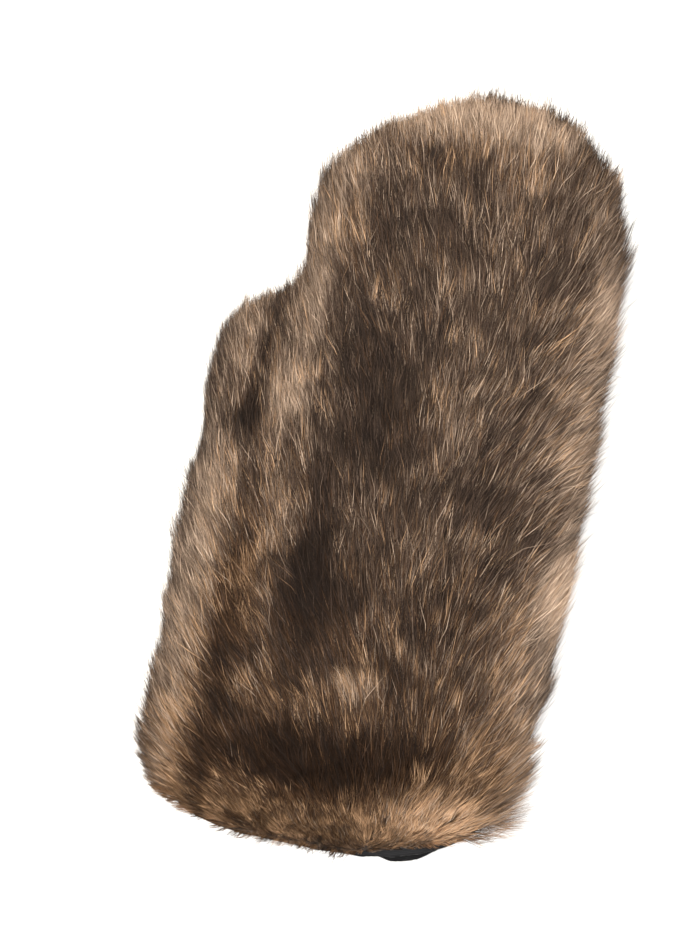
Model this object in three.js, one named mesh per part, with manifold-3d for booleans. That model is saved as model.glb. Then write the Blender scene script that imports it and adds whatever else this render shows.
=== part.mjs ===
// A right-hand fur mitten lying on its palm: fur over the back, the palm and the thumb, on a sewn lining.
// Millimetres. +Y runs from the wrist mouth to the fingertips, +Z from the palm to the back of the hand,
// and the thumb is on the -X side. The origin is on the flattened underside, where the mitten rests.

import * as THREE from "three";
import { mergeVertices } from "three/addons/utils/BufferGeometryUtils.js";
import Module from "manifold-3d";

const wasm = await Module();
wasm.setup();

// Driving sizes
const bagLength = 266; // lining bag, mouth to fingertips
const bagWidth = 109; // lining bag across the hand
const bagHeight = 35; // lining bag, palm to back
const thumbLength = 84; // thumb of the bag, from inside the hand to its tip
const thumbWidth = 23; // thumb of the bag across
const thumbHeight = 24; // thumb of the bag, palm to back
const thumbInset = 7.8; // centre line of the thumb, in from the thumb side of the hand's bag
const thumbAlong = 100; // where the thumb leaves the hand, from the mouth
const thumbDrop = 8.5; // centre of the thumb below the centre of the hand
const liningWall = 1.2; // lining cloth
const backPile = 16; // fur depth over the back of the hand
const sidePile = 15.5; // fur depth down the sides
const palmPile = 12; // fur depth under the palm
const restDepth = 1.6; // how much of the palm's fur the mitten's own weight presses flat
const thumbPile = 10.5; // fur depth on the thumb
const thumbRootPile = 6; // extra depth at the thumb's root, where it runs into the hand's fur
const thumbCrush = 2.2; // fur depth left where the thumb lies against the hand
const hemRoll = 17; // length over which the fur rounds off to the hem
const hemDepth = 4.5; // fur depth at the hem itself
const hemRiseRight = 14; // how far the mouth's right corner pulls back from the hem's lowest line
const hemRiseLeft = 6; // the same at the corner on the thumb's side
const lipDepth = 5.5; // how far the lining shows past the hem on the palm side
const lipAcross = 37; // middle of that lip
const lipWidth = 42; // its width
const fitGap = 0.3; // between one piece and the next
const lockLength = 25; // a lock of fur, root to tip
const lockWidth = 11; // its widest
const lockThick = 5.5; // its depth at the root
const lockSpacing = 17; // between locks, along and across the fur
const lockSink = 2.6; // how deep a lock's root starts below the fur's surface
const lockLift = 17; // degrees a lock stands off the surface
const fanAngle = 42; // degrees that the fur is swept outwards at the sides

// Sections of the hand bag. Shares: along of bagLength, left and right of bagWidth from the middle of the
// hand, top and bottom of bagHeight above the bag's palm side.
const handSections = [
  { along: 0.0, left: -0.48, right: 0.52, top: 1.0, bottom: 0.0 },
  { along: 0.13, left: -0.48, right: 0.522, top: 1.02, bottom: 0.0 },
  { along: 0.27, left: -0.48, right: 0.524, top: 1.03, bottom: 0.0 },
  { along: 0.4, left: -0.484, right: 0.525, top: 1.02, bottom: 0.0 },
  { along: 0.47, left: -0.45, right: 0.525, top: 1.0, bottom: 0.0 },
  { along: 0.56, left: -0.33, right: 0.525, top: 0.98, bottom: 0.0 },
  { along: 0.64, left: -0.256, right: 0.527, top: 0.94, bottom: 0.0 },
  { along: 0.75, left: -0.248, right: 0.532, top: 0.88, bottom: 0.0 },
  { along: 0.84, left: -0.25, right: 0.53, top: 0.81, bottom: 0.01 },
  { along: 0.885, left: -0.228, right: 0.517, top: 0.75, bottom: 0.04 },
  { along: 0.917, left: -0.18, right: 0.492, top: 0.69, bottom: 0.08 },
  { along: 0.942, left: -0.105, right: 0.456, top: 0.64, bottom: 0.13 },
  { along: 0.966, left: 0.01, right: 0.397, top: 0.57, bottom: 0.2 },
  { along: 0.987, left: 0.12, right: 0.32, top: 0.49, bottom: 0.29 },
  { along: 1.0, left: 0.215, right: 0.215, top: 0.4, bottom: 0.4 },
];

// Sections of the thumb bag. Shares: along of thumbLength, left and right of thumbWidth and top and bottom
// of thumbHeight, all from the thumb's centre line.
const thumbSections = [
  { along: 0.0, left: -0.38, right: 0.55, top: 0.44, bottom: -0.4 },
  { along: 0.2, left: -0.47, right: 0.55, top: 0.48, bottom: -0.47 },
  { along: 0.4, left: -0.5, right: 0.52, top: 0.5, bottom: -0.5 },
  { along: 0.6, left: -0.5, right: 0.5, top: 0.5, bottom: -0.5 },
  { along: 0.8, left: -0.5, right: 0.48, top: 0.48, bottom: -0.49 },
  { along: 0.9, left: -0.42, right: 0.39, top: 0.4, bottom: -0.41 },
  { along: 0.97, left: -0.24, right: 0.23, top: 0.24, bottom: -0.25 },
  { along: 1.0, left: 0.0, right: 0.0, top: 0.0, bottom: 0.0 },
];

// Where the thumb's fur meets the hand's. Shares of thumbWidth from the thumb's centre line and of
// thumbLength from its root.
const thumbSeam = {
  crotch: { across: 0.62, along: 0.48 },
  heel: { across: -1.2, along: 0.06 },
};
const seamShare = 0.47; // height of the side seam between back and palm, as a share of bagHeight

// The straight middle of the hem, as shares of bagWidth either side of the middle of the hand.
const hemFlat = { left: -0.18, right: 0.11 };

// Fineness of the facets
const boxiness = 2.5; // how square the bags' sections are: 2 is an ellipse
const bagRings = 15;
const bagSides = 28;
const furRings = 17;
const furSides = 24;
const thumbRings = 8;
const thumbSides = 12;
const thumbFurRings = 11;
const thumbFurSides = 16;
const grid = 0.0005; // the finest step between two points of a mesh

const bagFloor = palmPile - restDepth; // height of the bag's palm side above what the mitten rests on
const bagMiddle = bagFloor + bagHeight / 2;
const thumbMiddle = bagMiddle - thumbDrop;
const thumbAcross = handSections[0].left * bagWidth + thumbInset;
const seamHeight = bagFloor + seamShare * bagHeight;
const far = 2 * (bagLength + bagWidth); // beyond every part of the mitten
const radians = Math.PI / 180;

const clamp = THREE.MathUtils.clamp;
const lerp = THREE.MathUtils.lerp;
const smoothstep = THREE.MathUtils.smoothstep;

// A repeatable number from -0.5 to 0.5.
const wobble = (seed) => {
  const value = Math.sin(seed * 127.1 + 11.7) * 43758.5453;
  return value - Math.floor(value) - 0.5;
};

// The section at a share of the length, read from a table with a curve through its rows.
function sectionAt(table, along) {
  const share = clamp(along, 0, 1);
  const last = table.length - 1;
  const row = clamp(table.findIndex((entry) => entry.along >= share) - 1, 0, last - 1);
  const [before, from, to, after] = [row - 1, row, row + 1, row + 2].map((i) => table[clamp(i, 0, last)]);
  const t = (share - from.along) / (to.along - from.along);
  const curve = (key) => {
    const span = to.along - from.along;
    const slopeIn = ((to[key] - before[key]) / (to.along - before.along || span)) * span;
    const slopeOut = ((after[key] - from[key]) / (after.along - from.along || span)) * span;
    if (row === last - 1) return lerp(from[key], to[key], 1 - Math.sqrt(1 - t * t)); // a rounded tip
    const ends = from[key] * (2 * t ** 3 - 3 * t ** 2 + 1) + to[key] * (3 * t ** 2 - 2 * t ** 3);
    return ends + slopeIn * (t ** 3 - 2 * t ** 2 + t) + slopeOut * (t ** 3 - t ** 2);
  };
  return { left: curve("left"), right: curve("right"), top: curve("top"), bottom: curve("bottom") };
}

// A point round a section: angle 0 is the +X side, a quarter turn is the top.
function roundSection(left, right, top, bottom, angle) {
  const power = 2 / boxiness;
  const across = Math.sign(Math.cos(angle)) * Math.abs(Math.cos(angle)) ** power;
  const up = Math.sign(Math.sin(angle)) * Math.abs(Math.sin(angle)) ** power;
  return [(left + right) / 2 + ((right - left) / 2) * across, (top + bottom) / 2 + ((top - bottom) / 2) * up];
}

// How far the mouth's edge pulls back towards its two corners.
function hemRise(x) {
  const share = x / bagWidth;
  const [mouth] = handSections;
  const right = Math.max(0, share - hemFlat.right) / (mouth.right - hemFlat.right);
  const left = Math.min(0, share - hemFlat.left) / (mouth.left - hemFlat.left);
  return hemRiseRight * right ** 2 + hemRiseLeft * left ** 2;
}

// The lip of lining that shows past the hem, on the palm side alone.
function lip(x, angle) {
  const across = clamp((2 * (x - lipAcross)) / lipWidth, -1, 1);
  return Math.sin(angle) < 0 ? lipDepth * Math.cos((across * Math.PI) / 2) : 0;
}

// Outer surface of the hand bag. With showLip, its mouth carries the lip.
function handBag(along, angle, showLip = false) {
  const row = sectionAt(handSections, along);
  const [x, z] = roundSection(
    row.left * bagWidth,
    row.right * bagWidth,
    bagFloor + row.top * bagHeight,
    bagFloor + row.bottom * bagHeight,
    angle,
  );
  const towardsMouth = (1 - clamp(along, 0, 1)) ** 3;
  const past = showLip && along <= 0 ? lip(x, angle) : 0;
  return new THREE.Vector3(x, along * bagLength + hemRise(x) * towardsMouth - past, z);
}

// Outer surface of the thumb bag.
function thumbBag(along, angle) {
  const row = sectionAt(thumbSections, along);
  const [x, z] = roundSection(
    row.left * thumbWidth,
    row.right * thumbWidth,
    row.top * thumbHeight,
    row.bottom * thumbHeight,
    angle,
  );
  return new THREE.Vector3(thumbAcross + x, thumbAlong + along * thumbLength, thumbMiddle + z);
}

// Outward direction of a bag's surface.
function outward(surface, along, angle) {
  const step = 0.004;
  const inner = clamp(along, 0, 1 - 2 * step);
  const ahead = surface(inner + step, angle).sub(surface(Math.max(inner - step, 0), angle));
  const round = surface(inner, angle + step * 4).sub(surface(inner, angle - step * 4));
  const normal = ahead.cross(round).normalize();
  if (along >= 1) normal.set(0, 1, 0);
  return normal;
}

// A bag moved out (or, with a negative distance, in) along its own outward direction.
const moved = (surface, distance) => (along, angle) =>
  surface(along, angle).addScaledVector(outward(surface, along, angle), distance);

// Depth of the hand's fur where its surface faces that way.
function handDepth(normal, along) {
  const faced = normal.z > 0 ? backPile : palmPile;
  const depth = lerp(sidePile, faced, normal.z ** 2);
  const fromHem = clamp((along * bagLength) / hemRoll, 0, 1);
  return lerp(hemDepth, depth, Math.sin((fromHem * Math.PI) / 2));
}

// Depth of the thumb's fur: pressed thin against the hand, and deeper at the thumb's root.
function thumbDepth(normal, along) {
  const free = thumbPile + thumbRootPile * clamp(1 - along / 0.4, 0, 1);
  return lerp(free, thumbCrush, smoothstep(normal.x, 0.1, 0.8));
}

function handFur(along, angle) {
  const normal = outward(handBag, along, angle);
  return handBag(along, angle).addScaledVector(normal, handDepth(normal, along));
}

function thumbFur(along, angle) {
  const normal = outward(thumbBag, along, angle);
  return thumbBag(along, angle).addScaledVector(normal, thumbDepth(normal, along));
}

// A closed shell through rings of a surface, from a mouth to a tip. stretch moves the mouth out.
function loft(surface, rings, sides, stretch = 0) {
  const points = [];
  const faces = [];
  for (let ring = 0; ring < rings; ring += 1) {
    const along = 1 - (1 - ring / rings) ** 1.35; // rings stand closer together towards the tip
    for (let side = 0; side < sides; side += 1) {
      const point = surface(along, (2 * Math.PI * side) / sides);
      if (ring === 0) point.y -= stretch;
      points.push(point);
    }
  }
  const tip = points.push(surface(1, 0)) - 1;
  const mouth = points.push(points.slice(0, sides).reduce((sum, p) => sum.add(p), new THREE.Vector3())) - 1;
  points[mouth].divideScalar(sides);
  for (let side = 0; side < sides; side += 1) {
    const next = (side + 1) % sides;
    faces.push(mouth, side, next);
    for (let ring = 0; ring < rings - 1; ring += 1) {
      const [a, b] = [ring * sides + side, ring * sides + next];
      faces.push(a, a + sides, b, b, a + sides, b + sides);
    }
    faces.push((rings - 1) * sides + side, tip, (rings - 1) * sides + next);
  }
  return new THREE.BufferGeometry().setFromPoints(points).setIndex(faces);
}

// A three.js geometry as a solid that can be joined and cut.
function solid(geometry) {
  const bare = new THREE.BufferGeometry().setAttribute("position", geometry.getAttribute("position"));
  bare.setIndex(geometry.index);
  const merged = mergeVertices(bare, grid / 5);
  return new wasm.Manifold(
    new wasm.Mesh({
      numProp: 3,
      vertProperties: new Float32Array(merged.attributes.position.array),
      triVerts: new Uint32Array(merged.index.array),
    }),
  );
}

const joined = (solids) => solids.reduce((sum, next) => sum.add(next));

// A box given by its lowest and highest corners.
function block(low, high) {
  const size = new THREE.Vector3().subVectors(high, low);
  const middle = new THREE.Vector3().addVectors(low, high).multiplyScalar(0.5);
  return solid(new THREE.BoxGeometry(...size).translate(...middle));
}

// One lock of fur: a three-sided spike with its ridge outwards, widest in the middle, its tip bent back
// towards the surface.
function lockSolid({ root, normal, way, length, width }) {
  const side = new THREE.Vector3().crossVectors(way, normal).normalize();
  const lifted = way.clone().multiplyScalar(Math.cos(lockLift * radians));
  lifted.addScaledVector(normal, Math.sin(lockLift * radians)).normalize();
  const up = new THREE.Vector3().crossVectors(side, lifted).normalize();
  const profile = [
    { reach: 0.0, wide: 0.62, thick: 1.0 },
    { reach: 0.5, wide: 1.0, thick: 0.8 },
  ];
  const points = [];
  profile.forEach(({ reach, wide, thick }) => {
    const spine = root.clone().addScaledVector(lifted, reach * length);
    points.push(
      spine.clone().addScaledVector(side, (-wide * width) / 2).addScaledVector(up, (-thick * lockThick) / 2),
      spine.clone().addScaledVector(side, (wide * width) / 2).addScaledVector(up, (-thick * lockThick) / 2),
      spine.clone().addScaledVector(up, (thick * lockThick) / 2),
    );
  });
  points.push(root.clone().addScaledVector(lifted, length).addScaledVector(up, -0.2 * lockThick));
  const faces = [0, 1, 2];
  for (let i = 0; i < 3; i += 1) {
    const next = (i + 1) % 3;
    faces.push(i, i + 3, next, next, i + 3, next + 3, i + 3, 6, next + 3);
  }
  return solid(new THREE.BufferGeometry().setFromPoints(points).setIndex(faces));
}

// The way the fur is brushed over a place: towards the fingertips, and outwards at the sides.
function brushed(place, normal) {
  const half = bagWidth / 2 + sidePile;
  const sideways = clamp((place.x - 0.04 * bagWidth) / half, -1, 1);
  const turn = fanAngle * radians * sideways;
  const way = new THREE.Vector3(Math.sin(turn), Math.cos(turn), 0);
  const standing = clamp(way.dot(normal), 0, 1);
  way.addScaledVector(normal, -0.85 * way.dot(normal)).normalize();
  return { way, standing };
}

// Angles that lie evenly spaced round a surface's ring, given as a function of the share of the way round.
function evenAngles(surface, along) {
  const steps = 72;
  const lengths = [0];
  for (let i = 0; i < steps; i += 1) {
    const [from, to] = [i, i + 1].map((step) => surface(along, (2 * Math.PI * step) / steps));
    lengths.push(lengths[i] + from.distanceTo(to));
  }
  const girth = lengths[steps];
  const angleAt = (share) => {
    const target = (((share % 1) + 1) % 1) * girth;
    const next = Math.max(1, lengths.findIndex((length) => length >= target));
    const part = (target - lengths[next - 1]) / (lengths[next] - lengths[next - 1]);
    return (2 * Math.PI * (next - 1 + part)) / steps;
  };
  return { girth, angleAt };
}

// Locks in staggered rows over a fur surface, each where keep says so.
function locksOver({ surface, bag, length, seed, keep }) {
  const rows = Math.round(length / lockSpacing);
  const locks = [];
  for (let row = 0; row < rows; row += 1) {
    const along = (row + 0.4) / rows;
    const { girth, angleAt } = evenAngles(surface, along);
    const count = Math.max(3, Math.round(girth / lockSpacing));
    for (let i = 0; i < count; i += 1) {
      const index = seed + row * 61 + i;
      const angle = angleAt((i + 0.5 * (row % 2) + 0.5 * wobble(index)) / count);
      const share = clamp(along + (0.5 / rows) * wobble(index + 0.5), 0.02, 0.995);
      const place = surface(share, angle);
      const normal = outward(bag, share, angle);
      const { way, standing } = brushed(place, normal);
      const size = (1 - 0.45 * standing) * (1 + 0.3 * wobble(index + 0.25));
      const root = place.clone().addScaledVector(normal, -lockSink);
      const spec = { root, normal, way, length: lockLength * size, width: lockWidth * Math.sqrt(size) };
      if (keep(place, normal, spec)) locks.push(lockSolid(spec));
    }
  }
  return locks;
}

// Everything between two heights.
const layer = (low, high) => block(new THREE.Vector3(-far, -far, low), new THREE.Vector3(far, far, high));

// Everything past the thumb's seam, which runs slanting from the crotch to the outside of the thumb's root.
function pastThumbSeam(clearance) {
  const corner = ({ across, along }) =>
    new THREE.Vector2(thumbAcross + across * thumbWidth, thumbAlong + along * thumbLength);
  const [crotch, heel] = [corner(thumbSeam.crotch), corner(thumbSeam.heel)];
  const half = new THREE.BoxGeometry(far, far, far).translate(0, far / 2 - clearance, 0);
  return solid(half.rotateZ(crotch.clone().sub(heel).angle()).translate(crotch.x, crotch.y, 0));
}

// The bags, and the room that the fur pieces leave for them.
const grownBags = solid(loft(moved(handBag, fitGap), bagRings, bagSides, hemRoll)).add(
  solid(loft(moved(thumbBag, fitGap), thumbRings, thumbSides)),
);

// Room round the hand's fur for the thumb's locks, and round the thumb's fur for the hand's fur.
const roomRound = (surface, bag) => (along, angle) =>
  surface(along, angle).addScaledVector(outward(bag, along, angle), fitGap);
const handRoom = solid(loft(roomRound(handFur, handBag), furRings, furSides));
const thumbRoom = solid(loft(roomRound(thumbFur, thumbBag), thumbFurRings, thumbFurSides)).intersect(
  pastThumbSeam(fitGap),
);

// The hand's and the thumb's lining, cut apart along the slanting seam where the thumb is sewn on.
function makeLinings() {
  const hand = (along, angle) => handBag(along, angle, true);
  const outside = solid(loft(hand, bagRings, bagSides)).add(solid(loft(thumbBag, thumbRings, thumbSides)));
  const handHollow = solid(loft(moved(handBag, -liningWall), bagRings, bagSides, hemRoll));
  const thumbHollow = solid(loft(moved(thumbBag, -liningWall), thumbRings, thumbSides));
  const bag = outside.subtract(handHollow.add(thumbHollow));
  const thumbZone = (clearance) =>
    solid(loft(moved(thumbBag, fitGap + clearance), thumbRings, thumbSides)).intersect(pastThumbSeam(clearance));
  return { hand: bag.subtract(thumbZone(fitGap)), thumb: bag.intersect(thumbZone(0)) };
}

function makeThumbFur() {
  const core = solid(loft(thumbFur, thumbFurRings, thumbFurSides));
  const keep = (place, normal) => {
    const share = (place.y - thumbAlong) / thumbLength;
    return share > 0.3 && normal.x < (share > 1 ? 0.45 : 0.2) && normal.z > -0.5; // the sides left free
  };
  const length = thumbLength + thumbPile;
  const locks = locksOver({ surface: thumbFur, bag: thumbBag, length, seed: 900, keep });
  const clearLocks = joined(locks).subtract(handRoom);
  return core.add(clearLocks).intersect(pastThumbSeam(0)).intersect(layer(0, far)).subtract(grownBags);
}

// True where a lock on the hand would reach into the locks on the thumb.
function nearThumb({ root, way, length }) {
  const reach = thumbWidth / 2 + thumbPile + lockThick;
  return [0, 0.5, 1].some((share) => {
    const point = root.clone().addScaledVector(way, share * length);
    const beside = clamp(point.y, thumbAlong + 0.35 * thumbLength, thumbAlong + thumbLength);
    return point.distanceTo(new THREE.Vector3(thumbAcross, beside, thumbMiddle)) < reach;
  });
}

// The hand's fur on one side of the seam, with locks all over it except where it is pressed flat.
function makeHandFur(low, high, seed) {
  const core = solid(loft(handFur, furRings, furSides));
  const inset = lockThick / 2;
  const keep = (place, normal, spec) =>
    place.z > low + (low > 0 ? inset : 0) && place.z < high - inset && normal.z > -0.5 && !nearThumb(spec);
  const locks = locksOver({ surface: handFur, bag: handBag, length: bagLength + sidePile, seed, keep });
  return joined([core, ...locks]).intersect(layer(low, high)).subtract(grownBags).subtract(thumbRoom);
}

// Materials
const darkFur = new THREE.MeshStandardMaterial({ color: 0x5e4f42, roughness: 0.95, metalness: 0 });
const warmFur = new THREE.MeshStandardMaterial({ color: 0x7a6350, roughness: 0.95, metalness: 0 });
const blackSatin = new THREE.MeshStandardMaterial({ color: 0x15151a, roughness: 0.5, metalness: 0 });

// A mesh's largest shell: air pockets shut in between locks are filled, loose crumbs left out.
function largestShell({ positions, faces }) {
  const count = faces.length / 3;
  const leader = Array.from({ length: count }, (_, i) => i);
  const find = (i) => {
    let at = i;
    while (leader[at] !== at) at = leader[at];
    return at;
  };
  const edgeFace = new Map();
  for (let i = 0; i < faces.length; i += 1) {
    const face = Math.floor(i / 3);
    const ends = [faces[i], faces[3 * face + ((i + 1) % 3)]];
    const edge = Math.min(...ends) * positions.length + Math.max(...ends);
    if (edgeFace.has(edge)) leader[find(face)] = find(edgeFace.get(edge));
    edgeFace.set(edge, face);
  }
  const corner = (i) => new THREE.Vector3().fromArray(positions, 3 * faces[i]);
  const volumes = new Map();
  for (let face = 0; face < count; face += 1) {
    const volume = corner(3 * face).dot(corner(3 * face + 1).cross(corner(3 * face + 2))) / 6;
    volumes.set(find(face), (volumes.get(find(face)) ?? 0) + volume);
  }
  const [largest] = [...volumes].reduce((best, next) => (next[1] > best[1] ? next : best));
  const geometry = new THREE.BufferGeometry();
  geometry.setAttribute("position", new THREE.Float32BufferAttribute(positions, 3));
  return geometry.setIndex(faces.filter((_, i) => find(Math.floor(i / 3)) === largest));
}

// A solid's mesh with its points on a fine grid, so that points closer than the grid become one.
function griddedMesh(made) {
  const { vertProperties, triVerts } = made.getMesh();
  const seen = new Map();
  const positions = [];
  const index = Array.from({ length: vertProperties.length / 3 }, (_, i) => {
    const point = Array.from(vertProperties.slice(3 * i, 3 * i + 3), (v) => Math.round(v / grid) * grid);
    const key = point.map((v) => Math.round(v / grid)).join();
    if (!seen.has(key)) seen.set(key, positions.push(...point) / 3 - 1);
    return seen.get(key);
  });
  const faces = [];
  for (let i = 0; i < triVerts.length; i += 3) {
    const face = Array.from(triVerts.slice(i, i + 3), (v) => index[v]);
    if (new Set(face).size === 3) faces.push(...face);
  }
  return { positions, faces };
}

function meshOf(name, made, material) {
  let geometry = largestShell(griddedMesh(made));
  for (let pass = 0; pass < 2; pass += 1) geometry = largestShell(griddedMesh(solid(geometry)));
  geometry.computeVertexNormals();
  const mesh = new THREE.Mesh(geometry, material);
  mesh.name = name;
  return mesh;
}

const linings = makeLinings();
const mitten = new THREE.Group();
mitten.name = "fur_mitten";
mitten.add(
  meshOf("lining", linings.hand, blackSatin),
  meshOf("thumb_lining", linings.thumb, blackSatin),
  meshOf("back_fur", makeHandFur(seamHeight + fitGap / 2, far, 100), darkFur),
  meshOf("palm_fur", makeHandFur(0, seamHeight - fitGap / 2, 3000), warmFur),
  meshOf("thumb_fur", makeThumbFur(), warmFur),
);
mitten.position.y = -bagLength / 2; // the origin lies under the middle of the hand

export default mitten;
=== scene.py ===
# A deep-furred right-hand mitten, lying palm down, with a smooth lining inside.
# Every length is in metres once it is multiplied by mm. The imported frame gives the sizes.
import math

import bmesh
import bpy
import numpy as np
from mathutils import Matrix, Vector
from mathutils.bvhtree import BVHTree
from mathutils.kdtree import KDTree


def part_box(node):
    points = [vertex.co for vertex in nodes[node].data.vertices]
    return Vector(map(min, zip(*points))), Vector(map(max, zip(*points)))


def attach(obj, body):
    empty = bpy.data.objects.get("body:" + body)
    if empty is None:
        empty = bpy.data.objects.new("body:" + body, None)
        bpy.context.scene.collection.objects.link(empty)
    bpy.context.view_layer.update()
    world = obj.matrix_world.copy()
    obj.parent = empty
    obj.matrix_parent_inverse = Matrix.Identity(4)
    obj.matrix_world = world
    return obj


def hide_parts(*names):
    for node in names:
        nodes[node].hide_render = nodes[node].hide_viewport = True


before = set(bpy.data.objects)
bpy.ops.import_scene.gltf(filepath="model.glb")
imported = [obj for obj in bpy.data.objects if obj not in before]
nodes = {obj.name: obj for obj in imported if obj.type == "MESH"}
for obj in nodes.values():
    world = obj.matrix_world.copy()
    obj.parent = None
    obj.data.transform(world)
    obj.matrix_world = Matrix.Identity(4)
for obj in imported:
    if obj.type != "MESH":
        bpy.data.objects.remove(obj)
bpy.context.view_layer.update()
print("frame loaded:", ", ".join(sorted(nodes)))

mm = 0.001
hemLine = -133 * mm  # the frame's Y where the hem lies
furNodes = ("back_fur", "palm_fur", "thumb_fur")
liningNodes = ("lining", "thumb_lining")


def toLinear(hexText):
    parts = [int(hexText[i:i + 2], 16) / 255 for i in (1, 3, 5)]
    return [c / 12.92 if c <= 0.04045 else ((c + 0.055) / 1.055) ** 2.4 for c in parts] + [1]


def addNode(tree, kind, settings=None, links=None):
    # a setting is one of the node's own values or the value of an input, and "stops" fills a colour ramp
    node = tree.nodes.new(kind)
    for key, value in (settings or {}).items():
        if key == "stops":
            ramp = node.color_ramp.elements
            while len(ramp) < len(value):
                ramp.new(0.5)
            for stop, (place, colour) in zip(ramp, value):
                stop.position = place
                stop.color = toLinear(colour)
        elif isinstance(key, str) and hasattr(node, key):
            setattr(node, key, value)
        else:
            node.inputs[key].default_value = value
    for key, socket in (links or {}).items():
        tree.links.new(socket, node.inputs[key])
    return node


def newMaterial(name):
    material = bpy.data.materials.new(name)
    material.use_nodes = True
    material.node_tree.nodes.clear()
    return material, material.node_tree


def unit(v):
    return v / np.maximum(np.linalg.norm(v, axis=-1, keepdims=True), 1e-12)


def smoothStep(x, low, high):
    t = np.clip((x - low) / (high - low), 0, 1)
    return t * t * (3 - 2 * t)


# Dyed long-pile fur, brushed: matt fine hair, dark at the root, lighter in the middle and dark at the tip.
# The map OFBake has a narrow strip for each hair: across it goes from dark hair to tan hair, first for the
# grey-brown hair and then for the red-brown, and up it goes from root to tip.
furLook = {
    "darkHair": ((0.0, "#080504"), (0.3, "#0f0a08"), (0.65, "#1e1510"), (0.88, "#18110c"), (1.0, "#0d0806")),
    "midHair": ((0.0, "#0f0b08"), (0.3, "#2a2019"), (0.65, "#56453a"), (0.86, "#44362b"), (1.0, "#1f1712")),
    "tanHair": ((0.0, "#2c2119"), (0.3, "#7b6553"), (0.65, "#d6bca4"), (0.86, "#b0957d"), (1.0, "#4c3b2f")),
    "redder": "#ffe3bb",  # what the red-brown hair is multiplied by
    "redInDark": 1.0,
    "redInLight": 0.6,
    "roughness": 0.6,
    "ior": 1.55,  # keratin and acrylic hair alike
    "specular": 0.08,
}


def makeFurMaterial(name):
    material, tree = newMaterial(name)
    strand = addNode(tree, "ShaderNodeUVMap", {"uv_map": "OFBake"})
    split = addNode(tree, "ShaderNodeSeparateXYZ", links={0: strand.outputs[0]})
    height = split.outputs["Y"]
    twice = addNode(tree, "ShaderNodeMath", {"operation": "MULTIPLY", 1: 2.0}, {0: split.outputs["X"]})
    tone = addNode(tree, "ShaderNodeMath", {"operation": "FRACT"}, {0: twice.outputs[0]}).outputs[0]
    isRed = addNode(tree, "ShaderNodeMath", {"operation": "GREATER_THAN", 1: 0.5}, {0: split.outputs["X"]})
    # the lightest of the red-brown hair is paler than the rest
    redness = addNode(tree, "ShaderNodeMapRange", {
        "To Min": furLook["redInDark"], "To Max": furLook["redInLight"]}, {"Value": tone})
    redShare = addNode(tree, "ShaderNodeMath", {"operation": "MULTIPLY"},
                       {0: isRed.outputs[0], 1: redness.outputs[0]})
    dark = addNode(tree, "ShaderNodeValToRGB", {"stops": furLook["darkHair"]}, {0: height})
    middle = addNode(tree, "ShaderNodeValToRGB", {"stops": furLook["midHair"]}, {0: height})
    tan = addNode(tree, "ShaderNodeValToRGB", {"stops": furLook["tanHair"]}, {0: height})
    toMiddle = addNode(tree, "ShaderNodeMapRange", {"From Min": 0.0, "From Max": 0.5}, {"Value": tone})
    toTan = addNode(tree, "ShaderNodeMapRange", {"From Min": 0.5, "From Max": 1.0}, {"Value": tone})
    lower = addNode(tree, "ShaderNodeMix", {"data_type": "RGBA"},
                    {0: toMiddle.outputs[0], 6: dark.outputs[0], 7: middle.outputs[0]})
    whole = addNode(tree, "ShaderNodeMix", {"data_type": "RGBA"},
                    {0: toTan.outputs[0], 6: lower.outputs[2], 7: tan.outputs[0]})
    redder = addNode(tree, "ShaderNodeMix", {"data_type": "RGBA", "blend_type": "MULTIPLY",
                                            7: toLinear(furLook["redder"])},
                     {0: redShare.outputs[0], 6: whole.outputs[2]})
    surface = addNode(tree, "ShaderNodeBsdfPrincipled", {
        "Roughness": furLook["roughness"], "IOR": furLook["ior"], "Specular IOR Level": furLook["specular"]},
        {"Base Color": redder.outputs[2]})
    addNode(tree, "ShaderNodeOutputMaterial", links={"Surface": surface.outputs[0]})
    return material


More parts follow.
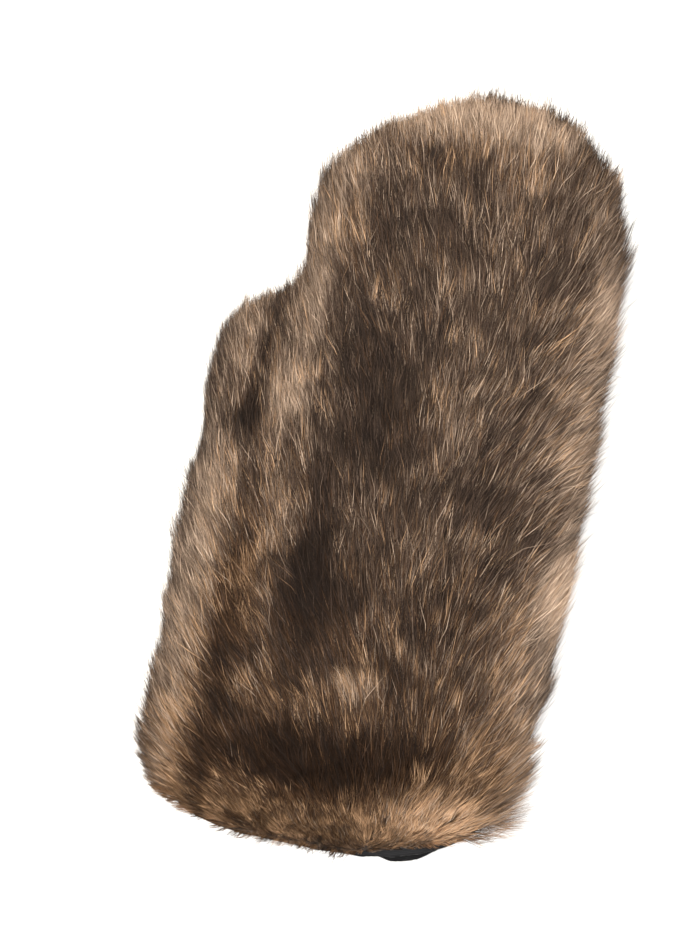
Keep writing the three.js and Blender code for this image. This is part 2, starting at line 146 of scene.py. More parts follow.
# Markings of the coat: across in mm from the middle and along in mm from the hem's line, their half widths,
# and how much lighter (tan) or darker the hair is there. The dark ones in the fold between the thumb and the
# hand are painted shade.
marksAndFoldShade = (
    # the finger end
    (18, 276, 44, 18, 0.51), (28, 250, 9, 12, 0.12), (-28, 249, 12, 14, 0.22), (-12, 264, 14, 10, 0.14),
    (64, 247, 10, 24, 0.24), (12, 236, 26, 14, 0.05), (48, 248, 9, 12, 0.14), (47, 268, 10, 8, 0.12),
    # the dark tips along the outline of the finger end
    (20, 284, 26, 5.5, -0.70), (46, 279, 12, 6, -0.60), (60, 268, 9, 7, -0.55), (72, 253, 6, 13, -0.50),
    # the tan streak beside the thumb, and the thumb itself, with painted shade in the fold beside the thumb
    # and at its base
    (-36, 215, 8, 36, 0.27), (-27, 222, 8, 14, 0.14), (-37, 182, 9, 24, 0.18), (-39, 158, 9, 15, 0.36),
    (-57, 184, 8, 18, 0.26), (-48.5, 180, 2.6, 18, -0.20), (-51.5, 150, 6.5, 8, -0.42),
    (-48, 128, 9, 16, 0.06),
    # the left edge
    (-60, 80, 10.5, 70, 0.36), (-57, 118, 10, 22, 0.05), (-60, 14, 11, 16, 0.18), (-76, 40, 6, 26, -0.20),
    (-45, 62, 6.5, 34, -0.18), (-46, 24, 6, 16, -0.14), (-35, 57, 6, 7, 0.10), (-36, 112, 9, 30, 0.15),
    # the middle
    (-20, 96, 9, 28, -0.36), (-6, 84, 9, 16, -0.20), (-8, 162, 10, 22, -0.24), (4, 149, 9, 14, -0.22),
    (-19, 133, 9, 14, -0.14), (-15, 182, 8, 16, -0.14), (-14, 212, 7, 18, -0.08), (2, 228, 12, 12, -0.08),
    (-5, 117, 6, 6, 0.10), (20, 115, 12, 5, 0.14), (25, 158, 6, 13, 0.10), (18, 205, 12, 7, 0.06),
    (26, 92, 11, 10, -0.15), (2, 64, 12, 5, 0.42), (28, 74, 9, 6, 0.14), (-22, 60, 7, 8, -0.08),
    # the right edge
    (68, 192, 12, 28, 0.32), (69, 213, 9, 15, 0.24), (46, 185, 8, 6, 0.16), (70, 150, 12, 26, 0.28),
    (72, 108, 11, 18, 0.58), (58, 104, 7, 28, 0.10), (54, 158, 7, 26, 0.11), (68, 66, 13, 38, 0.28),
    (50, 66, 11, 36, 0.15),
    # the dark band over the hem, and the hem
    (-18, 37, 17, 10, -0.40), (12, 38, 18, 9, -0.38), (-6, 28, 24, 7, -0.22), (-38, 38, 8, 11, -0.16),
    (30, 46, 10, 6, -0.22), (0, 4, 60, 15, 0.33), (-45, 5, 14, 9, 0.10), (38, 22, 19, 11, 0.52),
    (54, 18, 13, 12, 0.30), (74, 22, 12, 18, 0.34),
)
plainTone = 0.335
markEdge = 1.5  # above 1 a marking is flatter in its middle and ends sooner

# Some of the hair is redder: its share from the hem to the finger end, and where it is more or less.
warmAlong = ((0, 0.95), (25, 0.8), (60, 0.5), (110, 0.2), (150, 0.06))
warmPlaces = (
    (-44, 92, 8, 32, 0.5), (-66, 70, 9, 80, -0.5), (71, 60, 9, 80, -0.4), (15, 255, 42, 9, 0.3),
    (15, 280, 60, 12, -0.2), (-27, 222, 7, 16, 0.25), (56, 190, 8, 26, 0.15),
)

# How the hair is brushed: degrees from straight ahead, to the right positive, at these places in mm.
combAcross = (-60, -40, -20, 0, 20, 40, 60)
combAlong = (0, 20, 60, 100, 140, 180, 220, 260)
combDegrees = (
    (-62, -50, -34, -22, -10, 10, 40),
    (-50, -44, -34, -24, -10, 12, 32),
    (-26, -32, -35, -32, -14, 8, 20),
    (-26, -18, -17, -15, -2, 20, 24),
    (-18, -12, -15, -14, -3, 26, 42),
    (-12, -20, -22, -19, -6, 15, 38),
    (-28, -16, -17, -17, -13, -3, 12),
    (-38, -30, -20, -14, -8, 5, 20),
)


def withMarks(points, plain, marks):
    across, along = points[:, 0] / mm, (points[:, 1] - hemLine) / mm
    value = np.full(len(points), 0.0) + plain
    for x, y, wide, long, change in marks:
        value += change * np.exp(-(((across - x) / wide) ** 2 + ((along - y) / long) ** 2) ** markEdge)
    return value


def brushedAt(points):
    # the brushed direction at each point, between the table's places
    table = np.radians(np.array(combDegrees, float))
    column = np.interp(points[:, 0] / mm, combAcross, range(len(combAcross)))
    row = np.interp((points[:, 1] - hemLine) / mm, combAlong, range(len(combAlong)))
    i, j = row.astype(int).clip(0, len(combAlong) - 2), column.astype(int).clip(0, len(combAcross) - 2)
    u, v = row - i, column - j
    return ((1 - u) * ((1 - v) * table[i, j] + v * table[i, j + 1])
            + u * ((1 - v) * table[i + 1, j] + v * table[i + 1, j + 1]))


# The hide is the skin that the hair stands on. It's remade from the CAD's fur.
hide = {
    "cell": 3.5 * mm,  # how finely the hide is remade
    "closing": 2.5 * mm,
    "smoothing": 14,
    "inset": 4.0 * mm,  # how far the hide lies under the coat's outer form
    "hemInset": 1.0 * mm,
    "insetReach": (2, 26),  # from the hem's inset to the full one, in mm from the hem's line
    # nearer to the lining than this the hide backs it, and farther out it bears hair
    "liningReach": (2.0 * mm, 5.0 * mm),
    # where the coat lies thinner: across, along, half widths, and how much deeper the hide is, in mm
    "thinner": ((78, 32, 22, 34, 3.5), (60, 271, 15, 12, 3.0), (78, 240, 14, 24, 2.5)),
    "hemPush": 2.0 * mm,  # smoothing draws the hem back, and this brings it out again
    "pushReach": (12, 24),  # where that fades out, in mm from the hem's line
    "lipPush": 0.7,  # the share of it that is left out at the lip
    "lipAcross": 31 * mm,  # here the lining shows past the hem, and the hair stays back from it
    "lipWidth": 18 * mm,
    "creaseAcross": -46 * mm,  # the fold between the thumb and the hand
    "creaseAlong": (141, 153, 192, 204),
    "creaseDepth": 5 * mm,
    "creaseWidth": 3.6 * mm,
    "behindLining": 0.9 * mm,
}


def meshTree(names):
    shape = bmesh.new()
    for name in names:
        shape.from_mesh(nodes[name].data)
    tree = BVHTree.FromBMesh(shape)
    shape.free()
    return tree


def remade(names, label):
    # one skin round several CAD nodes: grown, closed and drawn in again, so that slits between them fill up
    shape = bmesh.new()
    for name in names:
        shape.from_mesh(nodes[name].data)
    mesh = bpy.data.meshes.new(label)
    shape.to_mesh(mesh)
    shape.free()
    body = bpy.data.objects.new(label, mesh)
    bpy.context.scene.collection.objects.link(body)
    for step, grow in enumerate((hide["closing"], -hide["closing"], 0)):
        remesh = body.modifiers.new("remesh" + str(step), "REMESH")
        remesh.mode = "VOXEL"
        remesh.voxel_size = hide["cell"]
        swell = body.modifiers.new("swell" + str(step), "DISPLACE")
        swell.mid_level = 0
        swell.strength = grow
    soft = body.modifiers.new("soft", "SMOOTH")
    soft.factor = 0.5
    soft.iterations = hide["smoothing"]
    graph = bpy.context.evaluated_depsgraph_get()
    made = bpy.data.meshes.new_from_object(body.evaluated_get(graph))
    bpy.data.objects.remove(body)
    # keep the largest shell
    shape = bmesh.new()
    shape.from_mesh(made)
    left, shells = set(shape.verts), []
    while left:
        edge = [left.pop()]
        shell = set(edge)
        while edge:
            near = {e.other_vert(v) for v in edge for e in v.link_edges} - shell
            shell |= near
            edge = list(near)
        left -= shell
        shells.append(shell)
    largest = max(shells, key=len)
    bmesh.ops.delete(shape, geom=[v for v in shape.verts if v not in largest], context="VERTS")
    shape.to_mesh(made)
    shape.free()
    print("hide remade:", len(shells), "shells, the largest of", len(largest), "points")
    return made


def nearestDistance(tree, places):
    return np.array([tree.find_nearest(p)[3] for p in places])


def lipShare(places):
    return np.clip(1 - ((places[:, 0] - hide["lipAcross"]) / hide["lipWidth"]) ** 2, 0, 1) ** 0.5


skinMesh = remade(furNodes, "skin")
skinPlaces = np.empty(len(skinMesh.vertices) * 3, np.float32)
skinMesh.vertices.foreach_get("co", skinPlaces)
skinPlaces = skinPlaces.reshape(-1, 3).astype(float)
skinNormals = np.empty(len(skinMesh.vertices) * 3, np.float32)
skinMesh.vertices.foreach_get("normal", skinNormals)
skinNormals = skinNormals.reshape(-1, 3).astype(float)
skinDistance = nearestDistance(meshTree(liningNodes), skinPlaces)
outerShare = smoothStep(skinDistance, *hide["liningReach"])
skinAlong = (skinPlaces[:, 1] - hemLine) / mm
insetShare = smoothStep(skinAlong, *hide["insetReach"])
outerInset = hide["hemInset"] + (hide["inset"] - hide["hemInset"]) * insetShare
outerInset += withMarks(skinPlaces, 0, hide["thinner"]) * mm * outerShare
skinInset = hide["behindLining"] + (outerInset - hide["behindLining"]) * outerShare
skinPlaces = skinPlaces - skinNormals * skinInset[:, None]
hemFacing = np.clip(-skinNormals[:, 1], 0, 1) * (1 - smoothStep(skinAlong, *hide["pushReach"]))
skinPlaces[:, 1] -= hide["hemPush"] * hemFacing * (1 - hide["lipPush"] * lipShare(skinPlaces))
creaseShare = np.exp(-((skinPlaces[:, 0] - hide["creaseAcross"]) / hide["creaseWidth"]) ** 2)
creaseStart, creaseEnd = hide["creaseAlong"][:2], hide["creaseAlong"][2:]
creaseShare *= smoothStep(skinAlong, *creaseStart) * (1 - smoothStep(skinAlong, *creaseEnd))
creaseShare *= outerShare * np.clip(skinNormals[:, 2], 0, 1)
skinPlaces[:, 2] -= hide["creaseDepth"] * creaseShare
skinMesh.vertices.foreach_set("co", skinPlaces.astype(np.float32).ravel())
skinMesh.calc_loop_triangles()
skinTriangles = np.empty(len(skinMesh.loop_triangles) * 3, np.int32)
skinMesh.loop_triangles.foreach_get("vertices", skinTriangles)
skinTriangles = skinTriangles.reshape(-1, 3)
skinMiddles = skinPlaces[skinTriangles].mean(1)
regionDistance = np.stack([nearestDistance(meshTree((name,)), skinMiddles) for name in furNodes], 1)
skinRegion = regionDistance.argmin(1)
print("hide made:", len(skinPlaces), "points, from", skinPlaces.min(0), "to", skinPlaces.max(0))


stations = np.array((0.0, 0.55, 1.0))  # where a hair has its points, from root to tip
taper = np.array((0.8, 1.0))  # its width at all but the tip
leanPower = 1.15  # the higher, the less a strand's middle leans to its guide, and the tip leans as much
shownShares = (0.6, 0.4)  # a hair takes the marking at a place between its middle and its tip
toneLimits = (0.02, 0.98)
stripHalf = 0.004  # half the width of a hair's strip on the map OFBake
hairPoints, hairCorners = 5, 7  # in the mesh of one hair


def rootsOn(regions, count, rng, hemDense=0.0):
    # scattered roots on the outer side of the hide, with the hide's normals
    corners = skinPlaces[skinTriangles]
    area = np.linalg.norm(np.cross(corners[:, 1] - corners[:, 0], corners[:, 2] - corners[:, 0]), axis=1) / 2
    outside = outerShare[skinTriangles].mean(1) > 0.5
    wanted = area * outside * np.isin(skinRegion, regions)
    wanted = wanted * (1 + hemDense * (1 - smoothStep((skinMiddles[:, 1] - hemLine) / mm, 10, 26)))
    chosen = rng.choice(len(area), count, p=wanted / wanted.sum())
    a, b = rng.random(count), rng.random(count)
    flip = a + b > 1
    a[flip], b[flip] = 1 - a[flip], 1 - b[flip]
    weights = np.stack((1 - a - b, a, b), 1)[:, :, None]
    roots = (corners[chosen] * weights).sum(1)
    normals = unit((skinNormals[skinTriangles[chosen]] * weights).sum(1))
    return roots, normals


def growStrands(roots, normals, coat, rng, wander):
    count = len(roots)
    along = (roots[:, 1] - hemLine) / mm
    atHem = 1 - smoothStep(along, *coat["rimReach"])
    angle = brushedAt(roots) + rng.normal(0, math.radians(wander), count) * (1 + coat["hemWander"] * atHem)
    upOrUnder = np.sign(normals[:, 2] + coat["rimSplit"])
    overRim = coat["rimLift"] * np.clip(-normals[:, 1], 0, 1) * atHem * upOrUnder
    ways = np.stack((np.sin(angle), np.cos(angle), overRim), 1)
    facing = (ways * normals).sum(1, keepdims=True)
    ways = unit(ways - normals * facing * np.where(facing < 0, 1.0, coat["settle"]))
    length = coat["length"] * np.exp(rng.normal(0, coat["lengthSpread"], count))
    length = length * (coat["hemShare"] + (1 - coat["hemShare"]) * smoothStep(along, *coat["hemReach"]))
    rise = coat["rise"] + coat["hemRise"] * atHem
    outward = np.maximum((ways * normals).sum(1) + rise - coat["sag"], coat["leastOutward"])
    proud = coat["proud"] * np.minimum(rng.gamma(coat["proudShape"], 1.0, count), coat["proudMost"])
    length = np.minimum(length, (hide["inset"] + proud) / outward)
    atRim = np.clip(-normals[:, 1], 0, 1) * atHem
    shorter = coat["rimShorter"] + coat["lipShorter"] * lipShare(roots)
    length = (length * (1 - shorter * atRim))[:, None, None]
    s = stations[None, :, None]
    side = unit(np.cross(ways, normals))
    bend = rng.normal(0, coat["bend"], (count, 1, 1))
    crinkle = rng.normal(0, coat["crinkle"], (count, len(stations), 1))
    points = roots[:, None] + length * (
        ways[:, None] * s + normals[:, None] * (rise[:, None, None] * s - coat["sag"] * s ** 2)
        + side[:, None] * (bend * s ** 2 + crinkle * (s > 0)))
    points[:, :, 2] -= coat["droop"] * (length * s ** 2)[:, :, 0] * (1 - np.abs(normals[:, 2:]))
    return points


def gathered(points, roots, guides, guideRoots, pull):
    # each strand leans toward its nearest guide, most at the tip, so that tips meet in locks
    tree = KDTree(len(guideRoots))
    for i, place in enumerate(guideRoots):
        tree.insert(place, i)
    tree.balance()
    nearest = np.array([tree.find(place)[1] for place in roots])
    share = pull[nearest][:, None, None] * (stations ** leanPower)[None, :, None]
    return points + (guides[nearest] - points) * share, nearest


def makeWisps(regions, coat, seed):
    # wide locks, and the narrow wisps that lean into them
    rng = np.random.default_rng(seed)
    lockRoots, lockNormals = rootsOn(regions, coat["locks"], rng)
    wispRoots, wispNormals = rootsOn(regions, coat["wisps"], rng, coat["hemDense"])
    locks = growStrands(lockRoots, lockNormals, coat, rng, coat["lockWander"])
    wisps = growStrands(wispRoots, wispNormals, coat, rng, coat["wispWander"])
    lockPull = rng.uniform(*coat["lockPull"], len(locks))
    wisps, wispLock = gathered(wisps, wispRoots, locks, lockRoots, lockPull)
    tone = rng.normal(0, coat["lockTone"], len(locks))[wispLock] + rng.normal(0, coat["wispTone"], len(wisps))
    pull = rng.uniform(*coat["wispPull"], len(wisps))
    return {"roots": wispRoots, "strands": wisps, "tone": tone, "pull": pull}


def makeCoat(name, regions, wisps, coat, seed):
    rng = np.random.default_rng(seed)
    count = coat["count"]
    hairRoots, hairNormals = rootsOn(regions, count, rng, coat["hemDense"])
    hairs = growStrands(hairRoots, hairNormals, coat, rng, coat["hairWander"])
    hairs, hairWisp = gathered(
        hairs, hairRoots, wisps["strands"], wisps["roots"], wisps["pull"] * coat["gather"])
    rest = rng.uniform(*coat["rest"], (count, 1))
    hairs[:, :, 2] = np.maximum(hairs[:, :, 2], rest)
    # tone: the markings and the painted shade of the thumb's fold where the hair shows, then a little by wisp
    # and by hair
    shown = hairs[:, 1] * shownShares[0] + hairs[:, 2] * shownShares[1]
    tone = withMarks(shown, plainTone, marksAndFoldShade) + coat["toneShift"]
    mottle = wisps["tone"][hairWisp] + rng.normal(0, coat["hairTone"], count)
    tone = np.clip(tone + mottle * np.interp(tone, *coat["mottleAt"]), *toneLimits)
    warm = np.interp((shown[:, 1] - hemLine) / mm, *zip(*warmAlong))
    warm = withMarks(shown, warm, warmPlaces) + wisps["tone"][hairWisp] > rng.random(count)
    run = np.gradient(hairs, axis=1)
    facing = hairNormals + rng.normal(0, coat["twist"], (count, 3))
    side = unit(np.cross(run, facing[:, None]))[:, :2]
    half = coat["width"] / 2 * rng.uniform(*coat["widthSpread"], (count, 1, 1)) * taper[None, :, None]
    left, right = hairs[:, :2] - side * half, hairs[:, :2] + side * half
    # each hair is a thin blade: a four-sided face from the root, then a three-sided one to the tip
    places = np.concatenate((np.stack((left, right), 2).reshape(count, 4, 3), hairs[:, 2:]), 1)
    places[:, :, 2] = np.maximum(places[:, :, 2], coat["overFloor"])
    corners = (np.arange(count)[:, None] * hairPoints + np.array((0, 1, 3, 2, 2, 3, 4))[None]).ravel()
    starts = (np.arange(count)[:, None] * hairCorners + np.array((0, 4))[None]).ravel()
    mesh = bpy.data.meshes.new(name)
    mesh.vertices.add(count * hairPoints)
    mesh.vertices.foreach_set("co", places.astype(np.float32).ravel())
    mesh.loops.add(count * hairCorners)
    mesh.loops.foreach_set("vertex_index", corners.astype(np.int32))
    mesh.polygons.add(count * 2)
    mesh.polygons.foreach_set("loop_start", starts.astype(np.int32))
    mesh.update(calc_edges=True)
    mesh.polygons.foreach_set("use_smooth", np.ones(count * 2, bool))
    spread = np.array((-1, 1, -1, 1, 0)) * stripHalf
    across = (tone[:, None] + warm[:, None]) / 2 + spread[None]
    # the hem's hair is clipped, so its dark root end is shorter
    clipped = coat["hemClip"] * (1 - smoothStep((hairRoots[:, 1:2] - hemLine) / mm, *coat["clipReach"]))
    height = clipped + (1 - clipped) * np.array((0, 0, stations[1], stations[1], 1.0))[None]
    chart = np.stack((across, height), 2).reshape(-1, 2)[corners]
    layer = mesh.uv_layers.new(name="OFBake")
    layer.uv.foreach_set("vector", chart.astype(np.float32).ravel())
    piece = bpy.data.objects.new(name, mesh)
    bpy.context.scene.collection.objects.link(piece)
    print("coat made:", name, count, "hairs")
    return piece


coatOf = {  # the hair of the back, and with a few changes of the rest
    "count": 63000,
    "locks": 650,
    "wisps": 12000,
    "length": 23 * mm,
    "lengthSpread": 0.22,
    "hemShare": 0.42,  # the hair is this much shorter at the hem
    "hemReach": (8, 30),  # and grows to its full length between these, in mm from the hem's line
    "rise": 0.52,
    "sag": 0.21,
    "hemRise": 0.05,  # at the hem it stands up more
    "hemWander": 0.5,  # and points less evenly
    "hemDense": 0.9,  # and stands closer
    "hemClip": 0.65,  # and lacks this share of its colours, from the root up
    "clipReach": (5, 20),  # up to between these, in mm from the hem's line
    "rimReach": (6, 20),  # the rim ends between these, in mm from the hem's line
    "rimLift": 0.9,  # on the rim it is brushed over the edge
    "rimSplit": 0.3,  # where the hide faces down by more than this it is brushed under the edge
    "rimShorter": 0.3,  # it is shorter there by this share
    "lipShorter": 0.5,  # and by this much more where the lining shows
    "crinkle": 0.012,
    "settle": 0.62,  # how far hair that leaves the rim is laid back on it
    "proud": 1.6 * mm,  # how far the tips may stand past the coat's outer form
    "proudShape": 1.4,  # the lower, the more of them stay close to it
    "proudMost": 5,  # none stands farther than this many times proud
    "leastOutward": 0.05,  # for that limit a hair rises at least this steeply
    "rest": (0.2 * mm, 1.8 * mm),  # how high over the floor the pressed hair lies
    "overFloor": 0.1 * mm,  # what every blade keeps clear of it
    "droop": 0.08,
    "bend": 0.14,
    "width": 0.18 * mm,  # a few real hairs together, because one alone would be too fine to show
    "widthSpread": (0.7, 1.3),
    "twist": 0.32,
    "lockWander": 8,
    "wispWander": 11,
    "hairWander": 8,
    "lockPull": (0.1, 0.5),
    "wispPull": (0.25, 0.8),
    "gather": 1.0,
    "lockTone": 0.06,
    "wispTone": 0.14,
    "hairTone": 0.145,
    # at these tones, from dark to light, this much of the mottling is used
    "mottleAt": ((0, 0.35, 0.6, 0.9), (1.0, 1.12, 0.78, 0.48)),
    "toneShift": 0.0,
}

furMaterial = makeFurMaterial("brushedLongPileFur")


def dress(piece, material, *replaced, slot):
    piece.data.materials.append(material)
    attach(piece, "root")
    if replaced:
        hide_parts(*replaced)


backWisps = makeWisps((0,), coatOf, 11)
for label, seed in (("back_coat", 12), ("back_coat_middle", 13), ("back_coat_top", 14)):
    backCoat = makeCoat(label, (0,), backWisps, coatOf, seed)
    dress(backCoat, furMaterial, *(("back_fur",) if label == "back_coat" else ()), slot="back_fur")
palmOf = coatOf | {"count": 52000, "wisps": 7000, "locks": 500, "length": 20 * mm}
palmCoat = makeCoat("palm_coat", (1,), makeWisps((1,), palmOf, 21), palmOf, 22)
dress(palmCoat, furMaterial, "palm_fur", slot="palm_fur")
thumbOf = coatOf | {"count": 28000, "wisps": 2600, "locks": 160, "length": 16 * mm, "proud": 2.0 * mm}
thumbCoat = makeCoat("thumb_coat", (2,), makeWisps((2,), thumbOf, 31), thumbOf, 32)
dress(thumbCoat, furMaterial, "thumb_fur", slot="thumb_fur")
# single guard hairs, dark and pale, that stand out of the coat
guardOf = coatOf | {"count": 6000, "length": 26 * mm, "rise": 0.6, "proud": 3.6 * mm, "width": 0.14 * mm,
                    "gather": 0.4, "bend": 0.25, "hairTone": 0.19, "toneShift": -0.08, "hairWander": 11,
                    "mottleAt": ((0, 1), (1, 1))}
guardCoat = makeCoat("guard_hairs", (0,), backWisps, guardOf, 41)
dress(guardCoat, furMaterial, slot="back_fur")


# The hide is the knitted backing the hair is set in: matt brown, hardly seen.
hideLook = {
    "valley": "#241b16",
    "peak": "#3e3027",
    "stitch": 1.6 * mm,
    "roughness": 0.85,
    "bump": 0.4,
    "bumpDepth": 0.3 * mm,
}


def makeHideMaterial():
    material, tree = newMaterial("knittedFurBacking")
    place = addNode(tree, "ShaderNodeTexCoord")
    knit = addNode(tree, "ShaderNodeTexVoronoi", {"Scale": 1 / hideLook["stitch"]},
                   {"Vector": place.outputs["Object"]})
    shade = addNode(tree, "ShaderNodeValToRGB", {
        "stops": ((0.0, hideLook["peak"]), (1.0, hideLook["valley"]))}, {0: knit.outputs["Distance"]})
    bump = addNode(tree, "ShaderNodeBump", {"Strength": hideLook["bump"], "Distance": hideLook["bumpDepth"]},
                   {"Height": knit.outputs["Distance"]})
    surface = addNode(tree, "ShaderNodeBsdfPrincipled", {"Roughness": hideLook["roughness"]},
                      {"Base Color": shade.outputs[0], "Normal": bump.outputs[0]})
    addNode(tree, "ShaderNodeOutputMaterial", links={"Surface": surface.outputs[0]})
    return material


hidePiece = bpy.data.objects.new("fur_backing", skinMesh)
bpy.context.scene.collection.objects.link(hidePiece)
skinMesh.polygons.foreach_set("use_smooth", np.ones(len(skinMesh.polygons), bool))
skinMesh.materials.clear()
dress(hidePiece, makeHideMaterial(), slot="back_fur")


# Woven satin, black: smooth, close and slightly glossy, with soft creases where the bag hangs loose.
liningLook = {
    "thread": 0.45 * mm,  # real threads are about 0.1 mm apart and wouldn't show, so they are drawn coarser
    "dark": "#0a090a",
    "light": "#151416",
    "roughness": 0.45,
    "ior": 1.5,
    "specular": 0.12,  # the close satin weave breaks up its own gloss
    "weftWobble": 0.4,
    "clouds": 60.0,  # each about 17 mm across
    "bump": 0.25,
    "bumpDepth": 0.1 * mm,
    "crease": 0.5 * mm,
    "waves": 14,
    "waveLength": (16 * mm, 42 * mm),
    "waveHeight": 4,  # about how high the waves add up
    "mouthReach": (-1, 9),  # the mouth's edge ends between these, in mm from the hem's line
    "lipHeight": (18, 28),  # and its lower lip between these, in mm over the floor
    "lipOut": 0.8 * mm,  # how far the lip is drawn out, and the rest of the mouth drawn in
}
waveBand = 0.31  # at scale 1 the bands of Blender's wave texture repeat after this


def makeSatin():
    material, tree = newMaterial("blackWovenSatin")
    place = addNode(tree, "ShaderNodeTexCoord")
    weft = addNode(tree, "ShaderNodeTexWave", {
        "Scale": waveBand / liningLook["thread"] / 2, "Distortion": liningLook["weftWobble"], "Detail": 1.0,
        "bands_direction": "Y"}, {"Vector": place.outputs["Object"]})
    cloud = addNode(tree, "ShaderNodeTexNoise", {"Scale": liningLook["clouds"], "Detail": 3.0},
                    {"Vector": place.outputs["Object"]})
    blend = addNode(tree, "ShaderNodeMath", {"operation": "MULTIPLY"},
                    {0: weft.outputs["Fac"], 1: cloud.outputs["Fac"]})
    shade = addNode(tree, "ShaderNodeValToRGB", {
        "stops": ((0.1, liningLook["dark"]), (0.6, liningLook["light"]))}, {0: blend.outputs[0]})
    bump = addNode(tree, "ShaderNodeBump", {
        "Strength": liningLook["bump"], "Distance": liningLook["bumpDepth"]}, {"Height": weft.outputs["Fac"]})
    surface = addNode(tree, "ShaderNodeBsdfPrincipled", {
        "Roughness": liningLook["roughness"], "IOR": liningLook["ior"],
        "Specular IOR Level": liningLook["specular"]},
        {"Base Color": shade.outputs[0], "Normal": bump.outputs[0]})
    addNode(tree, "ShaderNodeOutputMaterial", links={"Surface": surface.outputs[0]})
    return material


def softWaves(places, size, seed):
    # a smooth field of small moves, the same on both faces of the thin wall
    rng = np.random.default_rng(seed)
    moves = np.zeros_like(places)
    for _ in range(liningLook["waves"]):
        way = unit(rng.normal(0, 1, 3))
        phase = rng.uniform(0, 2 * math.pi)
        step = rng.uniform(*liningLook["waveLength"])
        moves += np.sin(places @ way * (2 * math.pi / step) + phase)[:, None] * unit(rng.normal(0, 1, 3))
    return moves * size / liningLook["waveHeight"]


def makeLining():
    shape = bmesh.new()
    for name in liningNodes:
        shape.from_mesh(nodes[name].data)
    bmesh.ops.remove_doubles(shape, verts=shape.verts, dist=0.02 * mm)
    bmesh.ops.join_triangles(shape, faces=shape.faces, angle_face_threshold=0.5, angle_shape_threshold=0.9)
    mesh = bpy.data.meshes.new("lining_bag")
    shape.to_mesh(mesh)
    shape.free()
    raw = bpy.data.objects.new("raw", mesh)
    bpy.context.scene.collection.objects.link(raw)
    finer = raw.modifiers.new("finer", "SUBSURF")
    finer.levels = finer.render_levels = 2
    graph = bpy.context.evaluated_depsgraph_get()
    made = bpy.data.meshes.new_from_object(raw.evaluated_get(graph))
    bpy.data.objects.remove(raw)
    places = np.empty(len(made.vertices) * 3, np.float32)
    made.vertices.foreach_get("co", places)
    places = places.reshape(-1, 3).astype(float)
    places += softWaves(places, liningLook["crease"], 5)
    # subdividing draws the mouth's edge back, and this brings it out again
    drawnBack = places[:, 1].min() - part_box("lining")[0][1]
    atMouth = 1 - smoothStep((places[:, 1] - hemLine) / mm, *liningLook["mouthReach"])
    atLip = lipShare(places) ** 2 * (1 - smoothStep(places[:, 2] / mm, *liningLook["lipHeight"]))
    lipOut = liningLook["lipOut"]
    places[:, 1] -= atMouth * ((drawnBack + lipOut) * atLip - lipOut * (1 - atLip))
    print("lining mouth drawn back by", round(drawnBack / mm, 2), "mm")
    made.vertices.foreach_set("co", places.astype(np.float32).ravel())
    made.polygons.foreach_set("use_smooth", np.ones(len(made.polygons), bool))
    made.update()
    bag = bpy.data.objects.new("lining_bag", made)
    bpy.context.scene.collection.objects.link(bag)
    print("lining made:", len(made.polygons), "faces")
    return bag


liningBag = makeLining()
liningBag.data.materials.clear()
dress(liningBag, makeSatin(), "lining", "thumb_lining", slot="lining")


# The floor is pale painted board: even and matt, with a faint grain.
floorLook = {"side": 6.0, "colour": "#f6f5f3", "grain": "#fbfaf9", "grainScale": 40.0, "roughness": 0.7}


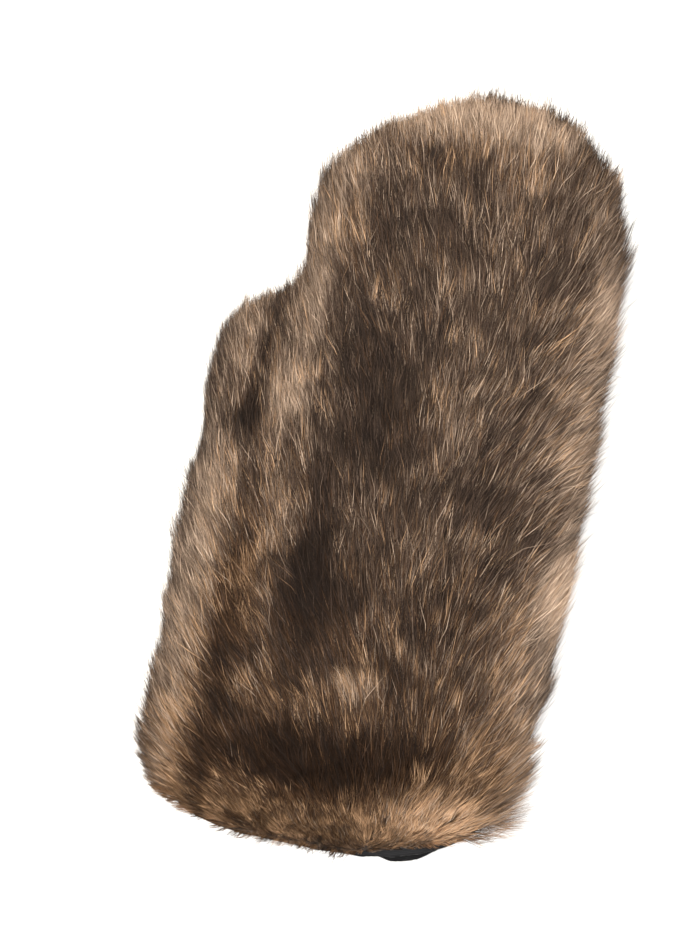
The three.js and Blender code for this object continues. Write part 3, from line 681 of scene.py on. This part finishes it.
def makeFloor():
    mesh = bpy.data.meshes.new("floor")
    half = floorLook["side"] / 2
    corners = [(-half, -half, 0), (half, -half, 0), (half, half, 0), (-half, half, 0)]
    mesh.from_pydata(corners, [], [(0, 1, 2, 3)])
    floor = bpy.data.objects.new("floor", mesh)
    bpy.context.scene.collection.objects.link(floor)
    material, tree = newMaterial("paintedFloor")
    grain = addNode(tree, "ShaderNodeTexNoise", {"Scale": floorLook["grainScale"]})
    shade = addNode(tree, "ShaderNodeValToRGB", {
        "stops": ((0.4, floorLook["colour"]), (0.6, floorLook["grain"]))}, {0: grain.outputs["Fac"]})
    surface = addNode(tree, "ShaderNodeBsdfPrincipled", {"Roughness": floorLook["roughness"]},
                      {"Base Color": shade.outputs[0]})
    addNode(tree, "ShaderNodeOutputMaterial", links={"Surface": surface.outputs[0]})
    mesh.materials.append(material)


def addLamp(name, place, size, power, colour):
    data = bpy.data.lights.new(name, "AREA")
    data.shape = "DISK"
    data.size = size
    data.energy = power
    data.color = toLinear(colour)[:3]
    lamp = bpy.data.objects.new(name, data)
    bpy.context.scene.collection.objects.link(lamp)
    lamp.location = place
    lamp.rotation_mode = "QUATERNION"
    lamp.rotation_quaternion = (-Vector(place)).to_track_quat("-Z", "Y")


makeFloor()
print("floor made")

# soft studio light: two wide lamps, both aimed at the mitten, and a white room
lamps = {
    "key": {"place": (-0.4, 0.3, 1.6), "size": 0.9, "power": 48, "colour": "#fffaf2"},
    "fill": {"place": (0.6, -0.8, 1.2), "size": 1.4, "power": 22, "colour": "#ffffff"},
}
roomLight = {"colour": "#ffffff", "strength": 0.45}
for label, lamp in lamps.items():
    addLamp(label, **lamp)

studio = bpy.data.worlds.new("studio")
bpy.context.scene.world = studio
studio.use_nodes = True
studio.node_tree.nodes.clear()
sky = addNode(studio.node_tree, "ShaderNodeBackground", {
    "Color": toLinear(roomLight["colour"]), "Strength": roomLight["strength"]})
addNode(studio.node_tree, "ShaderNodeOutputWorld", links={"Surface": sky.outputs[0]})
print("light made:", len(lamps), "lamps and the room")

# The camera looks straight down. The mitten leans to the right in the picture.
shot = {
    "middle": (-12.1 * mm, 4.8 * mm),  # the point under the middle of the picture
    "level": 25 * mm,
    "tall": 341.8 * mm,  # what the picture's height covers at that level
    "lean": 10.5,
    "lens": 100,
    "sensor": 36,
}
view = bpy.data.cameras.new("camera")
view.lens = shot["lens"]
view.sensor_width = shot["sensor"]
camera = bpy.data.objects.new("camera", view)
bpy.context.scene.collection.objects.link(camera)
camera.location = (*shot["middle"], shot["level"] + shot["tall"] * shot["lens"] / shot["sensor"])
camera.rotation_euler = (0, 0, math.radians(shot["lean"]))
bpy.context.scene.camera = camera
bpy.context.scene.view_settings.view_transform = "Standard"
print("camera made")
